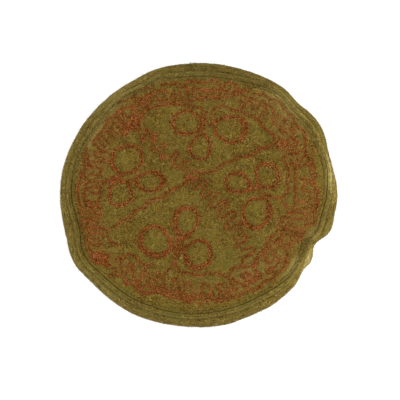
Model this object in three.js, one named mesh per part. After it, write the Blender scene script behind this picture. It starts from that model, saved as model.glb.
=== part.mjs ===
// A pakol: a round wool cap with a flat crown sewn to a long tube of cloth,
// and the tube rolled up outwards into a thick soft rim.
// It rests on the rim with the crown up. +X is across, +Y is towards the back, +Z is up.
import * as THREE from "three";

// Driving dimensions, in millimetres
const HAT_WIDTH = 255; // across the roll, along X
const HAT_DEPTH = 244; // across the roll, along Y
const HEAD_ROUND = 576; // inner round of the head opening
const SEAM_DIAMETER = 228; // crown's edge, before it is pulled oval
const SEAM_OVAL = 1.6; // how much further the crown's edge reaches along X than along Y
const CLOTH = 2.6; // thickness of the fulled wool
const ROLL_HEIGHT = 38; // roll before its own weight flattens it
const REST_FLAT = 2; // how far the roll is flattened where it rests
const ROLL_GAP = 2; // air between the turns of the roll
const RIB_WIDTH = 4.6; // raised seam rib around the crown
const RIB_RISE = 2.6; // rib's top above the cloth it is turned from
const RIB_CLEARANCE = 0.5; // air between the rib's underside and the roll
const DOME_RISE = 5.5; // crown's middle above its edge
const EDGE_ROUND = 1.3; // rounding of the crown's sewn edge
const SEAM_GAP = 0.3; // clearance between the crown and the cloth it is sewn to

// Resolution
const SEGMENTS = 72;
const TURN_STEP = 24; // degrees of roll between two stations of the wall
const ROLL_END = 630; // the wall's hem, in degrees of roll

// Creases and corners of the soft rim, one row each, placed by their bearing from +X.
// belly pushes the roll's widest line out, seam pushes the crown's edge out, sink lowers both.
const FOLDS = [
  { name: "right_dip", bearing: 15, spread: 8, belly: -2.2, seam: 2.0, sink: 0.6 },
  { name: "upper_right_bulge", bearing: 32, spread: 9, belly: 3.2, seam: 3.0, sink: -0.6 },
  { name: "shoulder_dip", bearing: 45, spread: 4, belly: -1.2, seam: 0.0, sink: 0.2 },
  { name: "upper_right_slope", bearing: 56, spread: 11, belly: 2.0, seam: 5.4, sink: 0.8 },
  { name: "back_swell", bearing: 88, spread: 26, belly: 1.3, seam: 0.4, sink: 0.0 },
  { name: "top_corner", bearing: 108, spread: 6, belly: 0.8, seam: 3.4, sink: -0.5 },
  { name: "upper_left_slack", bearing: 127, spread: 7, belly: -0.3, seam: 2.0, sink: 0.4 },
  { name: "left_slack", bearing: 148, spread: 7, belly: 0.0, seam: -0.6, sink: 0.5 },
  { name: "left_side", bearing: 180, spread: 34, belly: 2.4, seam: 1.2, sink: 0.0 },
  { name: "left_dent", bearing: 194, spread: 10, belly: 0.0, seam: -3.6, sink: 0.3 },
  { name: "lower_left_corner", bearing: 209, spread: 9, belly: 4.6, seam: 3.6, sink: -0.8 },
  { name: "lower_left_sweep", bearing: 234, spread: 20, belly: 3.4, seam: 1.4, sink: 0.3 },
  { name: "bottom_bulge", bearing: 278, spread: 9, belly: 0.6, seam: -1.0, sink: -0.2 },
  { name: "bottom_slack", bearing: 298, spread: 16, belly: -1.7, seam: -3.6, sink: 0.4 },
  { name: "lower_right_slack", bearing: 310, spread: 6, belly: -1.2, seam: -0.8, sink: 0.2 },
  { name: "notch_approach", bearing: 326, spread: 10, belly: -8.2, seam: -4.6, sink: 1.2 },
  { name: "notch_crease", bearing: 335, spread: 4, belly: 0.0, seam: -0.6, sink: 2.4 },
  { name: "notch", bearing: 336, spread: 6, belly: -7.6, seam: -5.0, sink: 3.2 },
  { name: "right_slack", bearing: 349, spread: 10, belly: 0.0, seam: -4.2, sink: 0.2 },
  { name: "notch_far_side", bearing: 351, spread: 5, belly: -1.0, seam: 0.0, sink: 0.3 },
];

// At the notch the rim is pressed in, and the lower turn of the roll stands out past it as a ledge.
// The ledge fades out between its two heights.
const LEDGE = { bearing: 328.5, spread: 5.5, reach: 4.0, fullBelow: 12, goneAbove: 24 };

// Soft swells and hollows of the crown, one row each, in plan
const SWELLS = [
  { name: "upper_swell", x: 15, y: 62, spread: 32, rise: 0.9 },
  { name: "left_swell", x: -64, y: 14, spread: 30, rise: 0.8 },
  { name: "lower_swell", x: -22, y: -50, spread: 32, rise: 0.8 },
  { name: "right_swell", x: 58, y: 4, spread: 28, rise: 0.9 },
  { name: "middle_hollow", x: 0, y: 2, spread: 24, rise: -1.2 },
  { name: "notch_hollow", x: 84, y: -42, spread: 17, rise: -1.4 },
];

// Sizes that follow from the driving ones
const RIM_RADIUS = (HAT_WIDTH + HAT_DEPTH) / 4; // round cap before it is made oval
const HEAD_RADIUS = HEAD_ROUND / (2 * Math.PI);
const SEAM_RADIUS = SEAM_DIAMETER / 2;
const TURN_PITCH = CLOTH + ROLL_GAP;
const ROLL_HALF_WIDTH = (RIM_RADIUS - HEAD_RADIUS - TURN_PITCH / 2) / 2;
const ROLL_HALF_HEIGHT = ROLL_HEIGHT / 2;
const ROLL_RADIUS = RIM_RADIUS - ROLL_HALF_WIDTH;
const ROLL_MIDDLE = ROLL_HALF_HEIGHT + TURN_PITCH / 4 - REST_FLAT;
const SOFT_RADIUS = SEAM_RADIUS / 2; // the folds die out inside this radius
const DOME_POWER = 4; // flat middle, falling towards the edge

const radians = THREE.MathUtils.degToRad;
const { smoothstep, lerp } = THREE.MathUtils;

// A point of the rolled wall in the round cap's section, as (radius, height).
// turn counts degrees around the roll: 0 outside, 90 on top, 180 at the head, 270 on the floor.
// depth is measured into the roll from the wall's outer face.
function wallPoint(turn, depth) {
  const inset = (TURN_PITCH * (turn - 360)) / 360 + depth;
  const floor = TURN_PITCH * Math.floor((turn - 90) / 360) + depth;
  const radius = ROLL_RADIUS + (ROLL_HALF_WIDTH - inset) * Math.cos(radians(turn));
  const height = ROLL_MIDDLE + (ROLL_HALF_HEIGHT - inset) * Math.sin(radians(turn));
  return new THREE.Vector2(radius, turn > 180 ? Math.max(height, floor) : height);
}

// The turn at which the first layer of the wall, under the crown, reaches a radius.
function turnAtRadius(radius) {
  let turn = 90;
  for (let pass = 0; pass < 8; pass++) {
    const reach = ROLL_HALF_WIDTH - (TURN_PITCH * (turn - 360)) / 360;
    turn = THREE.MathUtils.radToDeg(Math.acos((radius - ROLL_RADIUS) / reach));
  }
  return turn;
}

const SEAM_TURN = turnAtRadius(SEAM_RADIUS + SEAM_GAP / 2);
const RIB_TURN = turnAtRadius(SEAM_RADIUS + SEAM_GAP / 2 + RIB_WIDTH);
const SEAM_HEIGHT = wallPoint(SEAM_TURN, 0).y;

// Share of a fold that is felt at a bearing: a smooth bump of the fold's own spread.
function foldShare(bearing, fold) {
  const apart = ((bearing - fold.bearing + 540) % 360) - 180;
  return Math.exp(-((apart / fold.spread) ** 2));
}

// Sum of one column of the folds at a bearing.
function foldSum(bearing, column) {
  return FOLDS.reduce((sum, fold) => sum + fold[column] * foldShare(bearing, fold), 0);
}

// Takes a point of the round cap to its place on the creased, slightly oval cap.
function creased(point) {
  const bearing = THREE.MathUtils.radToDeg(Math.atan2(point.y, point.x));
  const radius = Math.hypot(point.x, point.y);
  const soft = smoothstep(radius, SOFT_RADIUS, SEAM_RADIUS);
  const high = smoothstep(point.z, ROLL_MIDDLE, SEAM_HEIGHT);
  const oval = SEAM_OVAL * Math.cos(2 * radians(bearing));
  const low = 1 - smoothstep(point.z, LEDGE.fullBelow, LEDGE.goneAbove);
  const belly = foldSum(bearing, "belly") + LEDGE.reach * foldShare(bearing, LEDGE) * low;
  const push = lerp(belly, foldSum(bearing, "seam") + oval, high) * soft;
  const sink = (foldSum(bearing, "sink") * soft * point.z) / SEAM_HEIGHT;
  const stretch = radius > 0 ? (radius + push) / radius : 1;
  return new THREE.Vector3(
    (point.x * stretch * HAT_WIDTH) / (2 * RIM_RADIUS),
    (point.y * stretch * HAT_DEPTH) / (2 * RIM_RADIUS),
    point.z - sink,
  );
}

// Height that the swells add to the crown at a point in plan.
function swellAt(x, y) {
  return SWELLS.reduce((sum, swell) => {
    const away = Math.hypot(x - swell.x, y - swell.y) / swell.spread;
    return sum + swell.rise * Math.exp(-away * away);
  }, 0);
}

// Turns a closed section about the cap's axis, then moves each point by shape.
function turned(section, shape) {
  const geometry = new THREE.LatheGeometry(section, SEGMENTS);
  geometry.rotateX(Math.PI / 2);
  const places = geometry.getAttribute("position");
  const point = new THREE.Vector3();
  for (let i = 0; i < places.count; i++) {
    const moved = shape(point.fromBufferAttribute(places, i));
    places.setXYZ(i, moved.x, moved.y, moved.z);
  }
  geometry.computeVertexNormals();
  return geometry;
}

// Crown: a round disc of embroidered wool, domed, with a rounded sewn edge.
const CROWN_SHARES = [0, 0.2, 0.4, 0.58, 0.74, 0.87, 0.96];

function crownGeometry() {
  const edge = SEAM_RADIUS - SEAM_GAP / 2;
  const under = (radius) =>
    SEAM_HEIGHT + SEAM_GAP + DOME_RISE * (1 - (radius / edge) ** DOME_POWER);
  const underside = [...CROWN_SHARES, 1].map(
    (share) => new THREE.Vector2(share * edge, under(share * edge)),
  );
  const roundedEdge = [
    new THREE.Vector2(edge, under(edge) + CLOTH - EDGE_ROUND),
    new THREE.Vector2(edge - EDGE_ROUND * 0.3, under(edge) + CLOTH - EDGE_ROUND * 0.3),
    new THREE.Vector2(edge - EDGE_ROUND, under(edge - EDGE_ROUND) + CLOTH),
  ];
  const topside = CROWN_SHARES.map(
    (share) => new THREE.Vector2(share * edge, under(share * edge) + CLOTH),
  ).reverse();
  return turned([...underside, ...roundedEdge, ...topside], (point) => {
    const place = creased(point);
    const fade = 1 - smoothstep(Math.hypot(point.x, point.y), SOFT_RADIUS, edge);
    place.z += swellAt(place.x, place.y) * fade;
    return place;
  });
}

// Rolled band: the tube of cloth from the seam rib, down past the head and out into the roll.
// The rib is the tube's top edge, turned in double and sewn against the crown.
const RIB_PROFILE = [
  { across: 0.0, rise: -0.3 },
  { across: 0.08, rise: 0.4 },
  { across: 0.28, rise: 0.85 },
  { across: 0.55, rise: 1.0 },
  { across: 0.85, rise: 0.8 },
  { across: 1.0, rise: 0.0 },
];

function bandGeometry() {
  const ribTurn = (across) => lerp(RIB_TURN, SEAM_TURN, across);
  const outer = RIB_PROFILE.map(({ across, rise }) => wallPoint(ribTurn(across), -rise * RIB_RISE));
  const inner = [0.12, 1].map((across) => wallPoint(ribTurn(across), TURN_PITCH - RIB_CLEARANCE));
  // The stations are counted back from the floor, so that three of them lie flat on it.
  const turns = [];
  for (let turn = ROLL_END; turn > SEAM_TURN + TURN_STEP / 3; turn -= TURN_STEP) turns.unshift(turn);
  for (const turn of turns) {
    outer.push(wallPoint(turn, 0));
    inner.push(wallPoint(turn, CLOTH));
  }
  return turned([...outer, ...inner.reverse(), outer[0]], creased);
}

const feltMaterial = new THREE.MeshStandardMaterial({ color: 0x75602b, roughness: 0.95, metalness: 0 });
const bandMaterial = new THREE.MeshStandardMaterial({ color: 0x726130, roughness: 0.95, metalness: 0 });

const crown = new THREE.Mesh(crownGeometry(), feltMaterial);
crown.name = "crown";

const rolledBand = new THREE.Mesh(bandGeometry(), bandMaterial);
rolledBand.name = "rolled_band";

const pakol = new THREE.Group();
pakol.add(crown, rolledBand);

export default pakol;
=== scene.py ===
"""A pakol seen from above: an embroidered wool crown, sewn to a cloth tube that is rolled up as a soft rim.

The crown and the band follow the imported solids' own sizes, worked out here with finer steps. The chain
stitch, the seam stitches and the loose wool lie on them. Lengths are millimetres until a mesh is made, and
the meshes are in metres. +X is across, +Y is towards the back and +Z is up.
"""
import math

import bpy
import numpy as np
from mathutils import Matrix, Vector, noise
from mathutils.bvhtree import BVHTree
from mathutils.kdtree import KDTree


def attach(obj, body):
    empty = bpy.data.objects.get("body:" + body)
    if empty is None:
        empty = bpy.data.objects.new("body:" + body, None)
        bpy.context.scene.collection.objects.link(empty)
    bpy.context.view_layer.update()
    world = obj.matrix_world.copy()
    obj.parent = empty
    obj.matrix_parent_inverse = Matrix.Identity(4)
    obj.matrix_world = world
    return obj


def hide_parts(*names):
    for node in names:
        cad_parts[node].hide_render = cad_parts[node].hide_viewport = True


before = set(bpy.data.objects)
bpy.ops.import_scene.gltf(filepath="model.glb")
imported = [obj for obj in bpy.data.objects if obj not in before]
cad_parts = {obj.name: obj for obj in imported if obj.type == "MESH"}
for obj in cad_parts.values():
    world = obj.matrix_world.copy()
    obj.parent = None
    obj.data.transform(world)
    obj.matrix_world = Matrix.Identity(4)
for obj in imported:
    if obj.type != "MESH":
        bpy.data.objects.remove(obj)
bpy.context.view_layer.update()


def table(columns, *rows):
    """A chart's rows as dictionaries that share one set of column names."""
    return [dict(zip(columns.split(), row)) for row in rows]


# Driving dimensions of the cap, in millimetres
HAT_WIDTH = 255.0
HAT_DEPTH = 244.0
HEAD_ROUND = 576.0
SEAM_DIAMETER = 228.0
SEAM_OVAL = 1.6
CLOTH = 2.6
ROLL_HEIGHT = 38.0
REST_FLAT = 2.0
ROLL_GAP = 2.0
RIB_WIDTH = 4.6
RIB_RISE = 2.6
RIB_CLEARANCE = 0.5
DOME_RISE = 5.5
EDGE_ROUND = 0.5
SEAM_GAP = 0.3
# Power of the dome's curve, and the turn at which the cloth ends inside its roll, in degrees
DOME_POWER = 4
ROLL_END = 630.0

# Fineness of the two cloth meshes: counts of points, steps in millimetres and turns in degrees
CROWN_SEGMENTS = 540
CROWN_STEP = 1.2
CROWN_UNDER_POINTS = 16
EDGE_POINTS = 6
EDGE_SWEEP = 80.0
BAND_SEGMENTS = 360
SEEN_TURNS = (300, 430)
SEEN_TURN_STEP = 2.0
HIDDEN_TURN_STEP = 15.0
SEAM_TURN_STEP = 6.0
RIB_POINTS = 22
RIB_UNDER_SHARES = np.array([0.12, 0.4, 0.7, 1.0])
TURN_ROUNDS = 8
LINE_STEPS = 10
# Height from which points are dropped on to the cloth, and the least length that is divided by
ABOVE_ALL = 200.0
TINY = 1e-9
# Start of all the random draws
RANDOM_SEED = 20

# Unevenness of the felted cloth: waves of two lengths and their rises, in millimetres. The roll is uneven
# between two turns, in degrees, and the rib has a share of it
CROWN_WOOL = {"long_wave": 17.0, "long_rise": 0.35, "short_wave": 5.0, "short_rise": 0.16}
BAND_WOOL = {"long_wave": 15.0, "long_rise": 0.5, "short_wave": 4.5, "short_rise": 0.22}
UNEVEN_TURNS = (290, 425)
RIB_UNEVEN = 0.35

# Chain stitch, in millimetres. The rings are worked in a thicker yarn than the fills
STITCH_SIZES = {row["kind"]: row for row in table(
    "kind pitch width yarn",
    ("ring", 2.6, 3.6, 0.38),
    ("line", 2.5, 3.0, 0.29),
    ("thin", 2.5, 2.6, 0.245),
    ("fill", 2.4, 2.5, 0.23),
    ("fine", 2.4, 2.0, 0.2),
)}
STITCH_OVERLAP = 0.6
STITCH_SHIFT = 0.3
STITCH_TURN = 13.0
FILL_SHIFT = 0.35
YARN_SINK = 0.1
YARN_SIDES = 5
LOOP_RISE = 0.55
LOOP_TUCK = 0.35
LOOP_POINTS = 10
# Half width of the drop shape that make_chain draws, before it is scaled to the stitch
DROP_HALF_WIDTH = 0.77
# Painted shade on the yarn where a loop starts in the felt, and this is how fast that fades towards its tip
DIP_FADE = 2.4
# Least and most of what varies from stitch to stitch: factors, and a random tone added to the painted dip
# shade
STITCH_RANGES = {
    "overlap": (0.8, 1.2),
    "width": (0.85, 1.15),
    "rise": (0.8, 1.25),
    "yarn": (0.88, 1.12),
    "dip": (-0.2, 0.5),
}

# What the stitches do to the cloth: they pull it down, puff it up inside a ring, leave rust lint on it and
# darken it along the winding lines. Pull, puff and spreads are millimetres, and the others are shares
STITCH_PULL = 0.7
STITCH_PULL_SPREAD = 2.3
RING_PUFF = 0.8
PUFF_FLAT = 0.25
LINE_LINT = 0.95
FILL_LINT = 1.15
FILL_LINT_SPREAD = 4.2
WINDING_DARKENING = -0.4
WINDING_SPREAD = 6.0

# Loose wool fibres that lie on the cloth, in millimetres. Bends and headings are degrees
FIBRE_RADIUS = 0.1
FIBRE_RADIUS_RANGE = (0.7, 1.3)
FIBRE_TAPER = 0.8
FIBRE_LIFT = 0.12
FIBRE_LEAST = 3.5
FIBRE_MOST = 9.0
FIBRE_BEND = 70.0
FIBRE_POINTS = 4
FIBRE_SIDES = 3
CROWN_FIBRES = 5200
FIBRE_CLEAR_OF_STITCH = 2.0
BAND_FIBRES = 5200
BAND_FIBRE_HEADING = 22.0
BAND_FIBRE_TURNS = np.arange(320.0, 408.0, 4.0)
BAND_FIBRE_RIB_SHARES = np.linspace(0.05, 0.95, 12)
# Wool that has felted across the seam: the stretches that it covers, in degrees, the fibres on each and the
# share of the seam that it closes. Where it closes, the crown's edge reaches out and down to meet the rib
SEAM_FELTED = table(
    "name start sweep fibres closed hides_sewing",
    ("upper_right", 3, 63, 300, 1.0, False),
    ("back", 56, 58, 200, 0.4, False),
    ("upper_left", 100, 72, 900, 1.0, True),
    ("notch", 312, 32, 360, 1.0, True),
)
FELTED_FADE = 9.0
FELTED_REACH = 0.6
FELTED_DROP = 0.2
FELTED_WIDTH = 5.0
SEAM_FIBRES = 800
SEAM_FIBRE_OFFSETS = np.array([-2.4, -0.8, 0.9, 2.6])
SEAM_FIBRE_SHIFT = 0.6
SEAM_FIBRE_SLANT = 1.2
# Short hairs that stand off the rim, with the share of the radius at points along them
RIM_HAIRS = 4200
RIM_HAIR_TURNS = (325, 400)
RIM_HAIR_RADIUS = 0.06
RIM_HAIR_LEAST = 0.8
RIM_HAIR_MOST = 2.4
RIM_HAIR_LEAN = 0.9
RIM_HAIR_CURL = 0.4
RIM_HAIR_PROFILE = table("along width", (-0.1, 1.0), (0.3, 1.0), (0.65, 0.8), (1.0, 0.3))

# Sewn lines in the cloth's own colour: where they run on their cloth, and how far they wander to each side.
# The place is millimetres in from the crown's edge, a share of the rib's width or a turn of the roll
SEAM_ROWS = table(
    "name cloth place wander",
    ("crown_edge_row", "crown", 2.4, 0.8),
    ("rib_inner_row", "rib", 0.66, 0.1),
    ("rib_foot_row", "rib", 0.06, 0.02),
    ("roll_row", "roll", 390.0, 6.0),
)
SEAM_STITCH = 6.6
SEAM_STITCH_GAP = 0.3
SEAM_STITCH_POINTS = 5
SEAM_STITCH_RANGE = (0.85, 1.05)
SEAM_YARN_RADIUS = 0.24
SEAM_WAVE = 24.0
# Shares of the yarn's radius: how thick a stitch is at its ends, how far it arches up and how deep it lies
SEAM_YARN_END = 0.45
SEAM_ARCH = 0.7
SEAM_DEPTHS = (-0.9, 0.3)
FELTED_DEPTH = -2.6

# Creases of the soft cap. Bearings and spreads are degrees. The push at the roll's belly, the push at the
# seam and the sink are millimetres
FOLDS = table(
    "name bearing spread belly seam sink",
    ("right_dip", 15, 8, -2.2, 2.0, 0.6),
    ("upper_right_bulge", 32, 9, 3.2, 3.0, -0.6),
    ("shoulder_dip", 45, 4, -1.2, 0.0, 0.2),
    ("upper_right_slope", 56, 11, 2.0, 5.4, 0.8),
    ("back_swell", 88, 26, 1.3, 0.4, 0.0),
    ("top_corner", 108, 6, 0.8, 3.4, -0.5),
    ("upper_left_slack", 127, 7, -0.3, 2.0, 0.4),
    ("left_slack", 148, 7, 0.0, -0.6, 0.5),
    ("left_side", 180, 34, 2.4, 1.2, 0.0),
    ("left_dent", 194, 10, 0.0, -3.6, 0.3),
    ("lower_left_corner", 209, 9, 4.6, 3.6, -0.8),
    ("lower_left_sweep", 234, 20, 3.4, 1.4, 0.3),
    ("bottom_bulge", 278, 9, 0.6, -1.0, -0.2),
    ("bottom_slack", 298, 16, -1.7, -3.6, 0.4),
    ("lower_right_slack", 310, 6, -1.2, -0.8, 0.2),
    ("notch_approach", 326, 10, -8.2, -4.6, 1.2),
    ("notch_crease", 335, 4, 0.0, -0.6, 2.4),
    ("notch", 336, 6, -7.6, -5.0, 3.2),
    ("right_slack", 349, 10, 0.0, -4.2, 0.2),
    ("notch_far_side", 351, 5, -1.0, 0.0, 0.3),
)
# At the notch the rim is pressed in, and the lower turn of the roll stands out past it
LEDGE = {"bearing": 328.5, "spread": 5.5, "reach": 4.0, "full_below": 12, "gone_above": 24}
# The upper edge of the rim is pressed in further than the ledge below it
PRESS = {"bearing": 330.0, "spread": 6.0, "push": -2.4, "gone_below": 18, "full_above": 21}
# Small dent where the notch's crease runs up over the rim on to the crown, in millimetres, and the shade
# painted in it
DENT = {"x": 94, "y": -50, "spread": 7.5, "depth": 2.6, "gone_below": 26, "full_above": 34, "wear": -0.5}
# Painted light and shade on the wool: painted highlights where the share is above 0, and painted shade
# where it is below 0. The bearing and its spread are degrees, and the distance in from the outline and
# its spread are millimetres
PAINTED_LIGHT_AND_SHADE = table(
    "name bearing spread inset across share",
    ("right_ridge", 11, 8, 8.0, 2.2, 1.5),
    ("right_roll", 6, 9, 3.5, 3.2, 0.35),
    ("right_low_matting", 349, 9, 5.2, 4.5, -0.5),
    ("right_shoulder", 50, 10, 11.2, 3.4, 0.8),
    ("shoulder_crease", 42, 17, 4.4, 0.7, -0.8),
    ("upper_left_ledge", 130, 24, 10.6, 3.2, 0.6),
    ("bottom_matting", 266, 30, 9.6, 2.4, -0.36),
    ("upper_left_rub", 124, 16, 3.4, 4.6, 0.38),
    ("lower_left_rub", 228, 18, 3.0, 3.5, 0.25),
    ("left_matting", 158, 24, 6.0, 2.0, -0.5),
    ("left_dent_matting", 191, 12, 9.8, 3.0, -0.7),
    ("low_right_matting", 288, 14, 3.6, 3.0, -0.2),
    ("back_crease_rub", 86, 18, 5.8, 0.9, 0.18),
    ("notch_fold", 332, 3.5, 8.5, 3.2, -0.6),
    ("notch_far_rub", 340, 4, 10.8, 3.2, 1.2),
    ("notch_ledge", 327, 9, -3.6, 4.0, 2.2),
    ("notch_side", 322, 7, 12.0, 4.0, 0.9),
    ("back_matting", 82, 22, 6.0, 6.0, -0.62),
    ("right_seam_rub", 8, 10, 10.8, 2.0, 0.5),
    ("upper_right_border", 47, 14, 20.0, 9.0, 0.3),
    ("low_right_border", 304, 14, 35.0, 10.0, 0.25),
    ("upper_left_edge", 147, 10, 14.0, 4.0, 0.45),
    ("left_border", 165, 12, 24.0, 8.0, 0.15),
    ("right_border", 6, 12, 27.0, 8.0, -0.15),
    ("top_border", 91, 18, 31.0, 5.0, -0.3),
    ("shoulder_matting", 35, 10, 2.5, 3.0, -0.35),
)
# Painted shade along the crease under the rib, and how much of it comes and goes
CREASE_SHADE = {"inset": 5.8, "across": 0.7, "share": -0.34, "uneven": 0.9, "wave": 14.0}
# Low swells and hollows in the crown, in millimetres
SWELLS = table(
    "name x y spread rise",
    ("upper_swell", 15, 62, 32, 0.9),
    ("left_swell", -64, 14, 30, 0.8),
    ("lower_swell", -22, -50, 32, 0.8),
    ("right_swell", 58, 4, 28, 0.9),
    ("middle_hollow", 0, 2, 24, -1.2),
    ("notch_hollow", 84, -42, 17, -1.4),
)
# Section of the raised rib: share of its width from the outside in, and share of its rise
RIB_PROFILE = table(
    "across rise", (0.0, -0.3), (0.08, 0.4), (0.28, 0.85), (0.55, 1.0), (0.88, 0.95), (1.0, 0.72)
)
# Long low ridges and grooves that run round the roll: turns and spreads in degrees, rises in millimetres
ROLL_RIDGES = table(
    "name turn spread rise",
    ("outer_ridge", 371, 7, 0.5),
    ("outer_groove", 381, 3, -0.5),
    ("upper_ridge", 391, 6, 0.9),
    ("rib_foot_groove", 409, 5, -1.2),
)

# Colours of the wool. Each finish runs from deep through body to pale
FELT_COLOURS = table(
    "name deep body pale green green_share fuzz",
    (
        "crown_felt", (0.048, 0.0266, 0.0032, 1), (0.136, 0.0798, 0.0105, 1), (0.3, 0.206, 0.049, 1),
        (0.112, 0.093, 0.0135, 1), 0.45, 0.03,
    ),
    (
        "band_felt", (0.052, 0.033, 0.0045, 1), (0.178, 0.115, 0.0195, 1), (0.385, 0.283, 0.08, 1),
        (0.143, 0.119, 0.0205, 1), 0.5, 0.05,
    ),
)
YARN_COLOURS = table(
    "name deep body pale",
    ("rust_yarn", (0.062, 0.0135, 0.0012, 1), (0.325, 0.077, 0.0125, 1), (0.5, 0.195, 0.064, 1)),
    ("seam_yarn", (0.028, 0.018, 0.003, 1), (0.07, 0.046, 0.009, 1), (0.13, 0.095, 0.025, 1)),
    ("felted_fibre", (0.1, 0.067, 0.012, 1), (0.18, 0.123, 0.024, 1), (0.34, 0.26, 0.076, 1)),
    ("wool_fibre", (0.07, 0.045, 0.007, 1), (0.17, 0.115, 0.021, 1), (0.4, 0.31, 0.095, 1)),
)
RUST_LINT_DEEP = (0.095, 0.036, 0.006, 1)
RUST_LINT = (0.255, 0.118, 0.029, 1)
# Pale colour of the painted highlights
PAINTED_HIGHLIGHT = (0.52, 0.43, 0.15, 1)
# How strongly the tones of the wool stand out, and how its hairs drift and stretch
FELT_CONTRAST = 13.4
GREEN_CONTRAST = 7.0
LINT_CONTRAST = 9.0
YARN_CONTRAST = 9.0
# How strongly the painted shade darkens the felt, and the yarn where it dips into the felt
PAINTED_SHADE_STRENGTH = 0.6
YARN_DIP_SHADE = 0.9
FELT_DRIFT = (14, 14, 14)
HAIR_ACROSS = (0.25, 1.2, 1.0)
HAIR_ALONG = (1.2, 0.25, 1.0)

# Floor, light and camera, in metres. The lens and its sensor are millimetres
FLOOR_SIZE = 6.0
FLOOR_DROP = 0.0001
FLOOR_TONE = 0.4
FLOOR_GLOW = 0.75
LIGHTS = table(
    "name place size power",
    ("softbox_right", (1.3, -0.05, 0.55), 0.9, 16),
    ("softbox_left", (-1.25, 0.05, 0.7), 1.2, 7),
)
LIGHT_AIM = Vector((0, 0, 0.02))
STUDIO_STRENGTH = 0.86
FRAME_WIDTH = 0.372
FRAME_MIDDLE = (0.0, -0.0042)
FRAME_LEVEL = 0.025
LENS = 500.0
SENSOR = 36.0

# Embroidery chart: each line's points, x and y in millimetres, with the crown seen from above
CLOSED_RINGS = {
    "top_left_ring": [
        (-25, 67), (-23, 74), (-17, 78), (-11, 79), (-6, 77), (-1, 73), (1, 67), (0, 62), (-5, 58),
        (-12, 57), (-19, 58), (-24, 62),
    ],
    "top_right_ring": [
        (13.5, 63), (14.5, 68), (20, 71), (25, 73.5), (31, 73), (37, 72), (42, 68), (44, 62), (42, 56.5),
        (38, 52), (33, 49.5), (26, 49.5), (20, 52.5), (15.5, 57),
    ],
    "top_low_ring": [
        (1, 57.5), (6, 54), (9, 49), (9.5, 43), (7.5, 37.5), (3, 34.5), (-3, 34.5), (-7, 37.5), (-9, 43),
        (-8, 48), (-4, 53.5),
    ],
    "right_left_ring": [
        (24, 12), (25.5, 17), (29.5, 20), (35, 20.5), (40, 19.5), (43.5, 15.5), (46.5, 10.5), (45, 6),
        (41, 3.5), (35, 2.8), (29.5, 3.3), (25.5, 6.5),
    ],
    "right_top_ring": [
        (53, 14), (52, 20), (53, 25.5), (57.5, 28.5), (63, 29), (68, 28), (71.5, 24), (73, 19), (73, 13.5),
        (69.5, 9.5), (64, 7.5), (58, 8.3), (54.5, 10.5),
    ],
    "right_low_ring": [
        (39.5, -13), (41.5, -9), (45, -5.5), (50, -3), (56, -2.5), (61, -3.5), (64, -8), (65.5, -13),
        (65.5, -18), (63.5, -23), (59.5, -27), (53, -29), (47, -28.5), (42.5, -25.5), (40, -20),
    ],
    "bottom_left_ring": [
        (-54.5, -40), (-53.5, -35), (-51, -31.5), (-47, -29), (-42, -28.5), (-37, -30), (-33, -33),
        (-30, -37), (-28, -42), (-28, -47), (-30, -51), (-35, -53.5), (-40, -54.5), (-46, -54),
        (-50.5, -51.5), (-53.5, -47),
    ],
    "bottom_top_ring": [
        (-22, -24), (-22, -19), (-19, -15), (-15, -12.5), (-10, -11.5), (-6, -12.5), (-3, -17), (-2, -22),
        (-2.5, -26), (-5.5, -31), (-9, -35), (-13, -37), (-18, -35), (-21, -30),
    ],
    "bottom_right_ring": [
        (-15, -50), (-12, -47), (-8, -44), (-3, -42), (3, -42), (7, -45), (9.5, -49), (10, -54), (9.5, -59),
        (6.5, -63), (1, -65.5), (-4, -66), (-9, -64), (-12, -60), (-14, -55),
    ],
    "left_top_ring": [
        (-80, 38), (-77, 42.5), (-71, 45.5), (-65, 46), (-60, 45), (-55.5, 41.5), (-53.5, 37),
        (-53.5, 31.5), (-56.5, 26.5), (-61, 22.5), (-66, 20.5), (-72, 20), (-77, 22.5), (-79.5, 27),
        (-80.5, 33),
    ],
    "left_right_ring": [
        (-59.5, 12), (-58.5, 16.5), (-54, 19.5), (-48, 21), (-42, 22), (-37.5, 20), (-35.5, 15.5),
        (-35.5, 11), (-37.5, 7), (-42, 4.5), (-47, 4.5), (-52, 5.5), (-57, 8),
    ],
    "left_low_ring": [
        (-84, 0), (-84.5, 5), (-82, 9), (-78, 12), (-73, 12.5), (-68, 12.5), (-66, 9.5), (-64.5, 5),
        (-63, 1.5), (-63.5, -3), (-67, -7), (-71, -9), (-76, -9.3), (-81, -7.3), (-84, -4),
    ],
}
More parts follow.
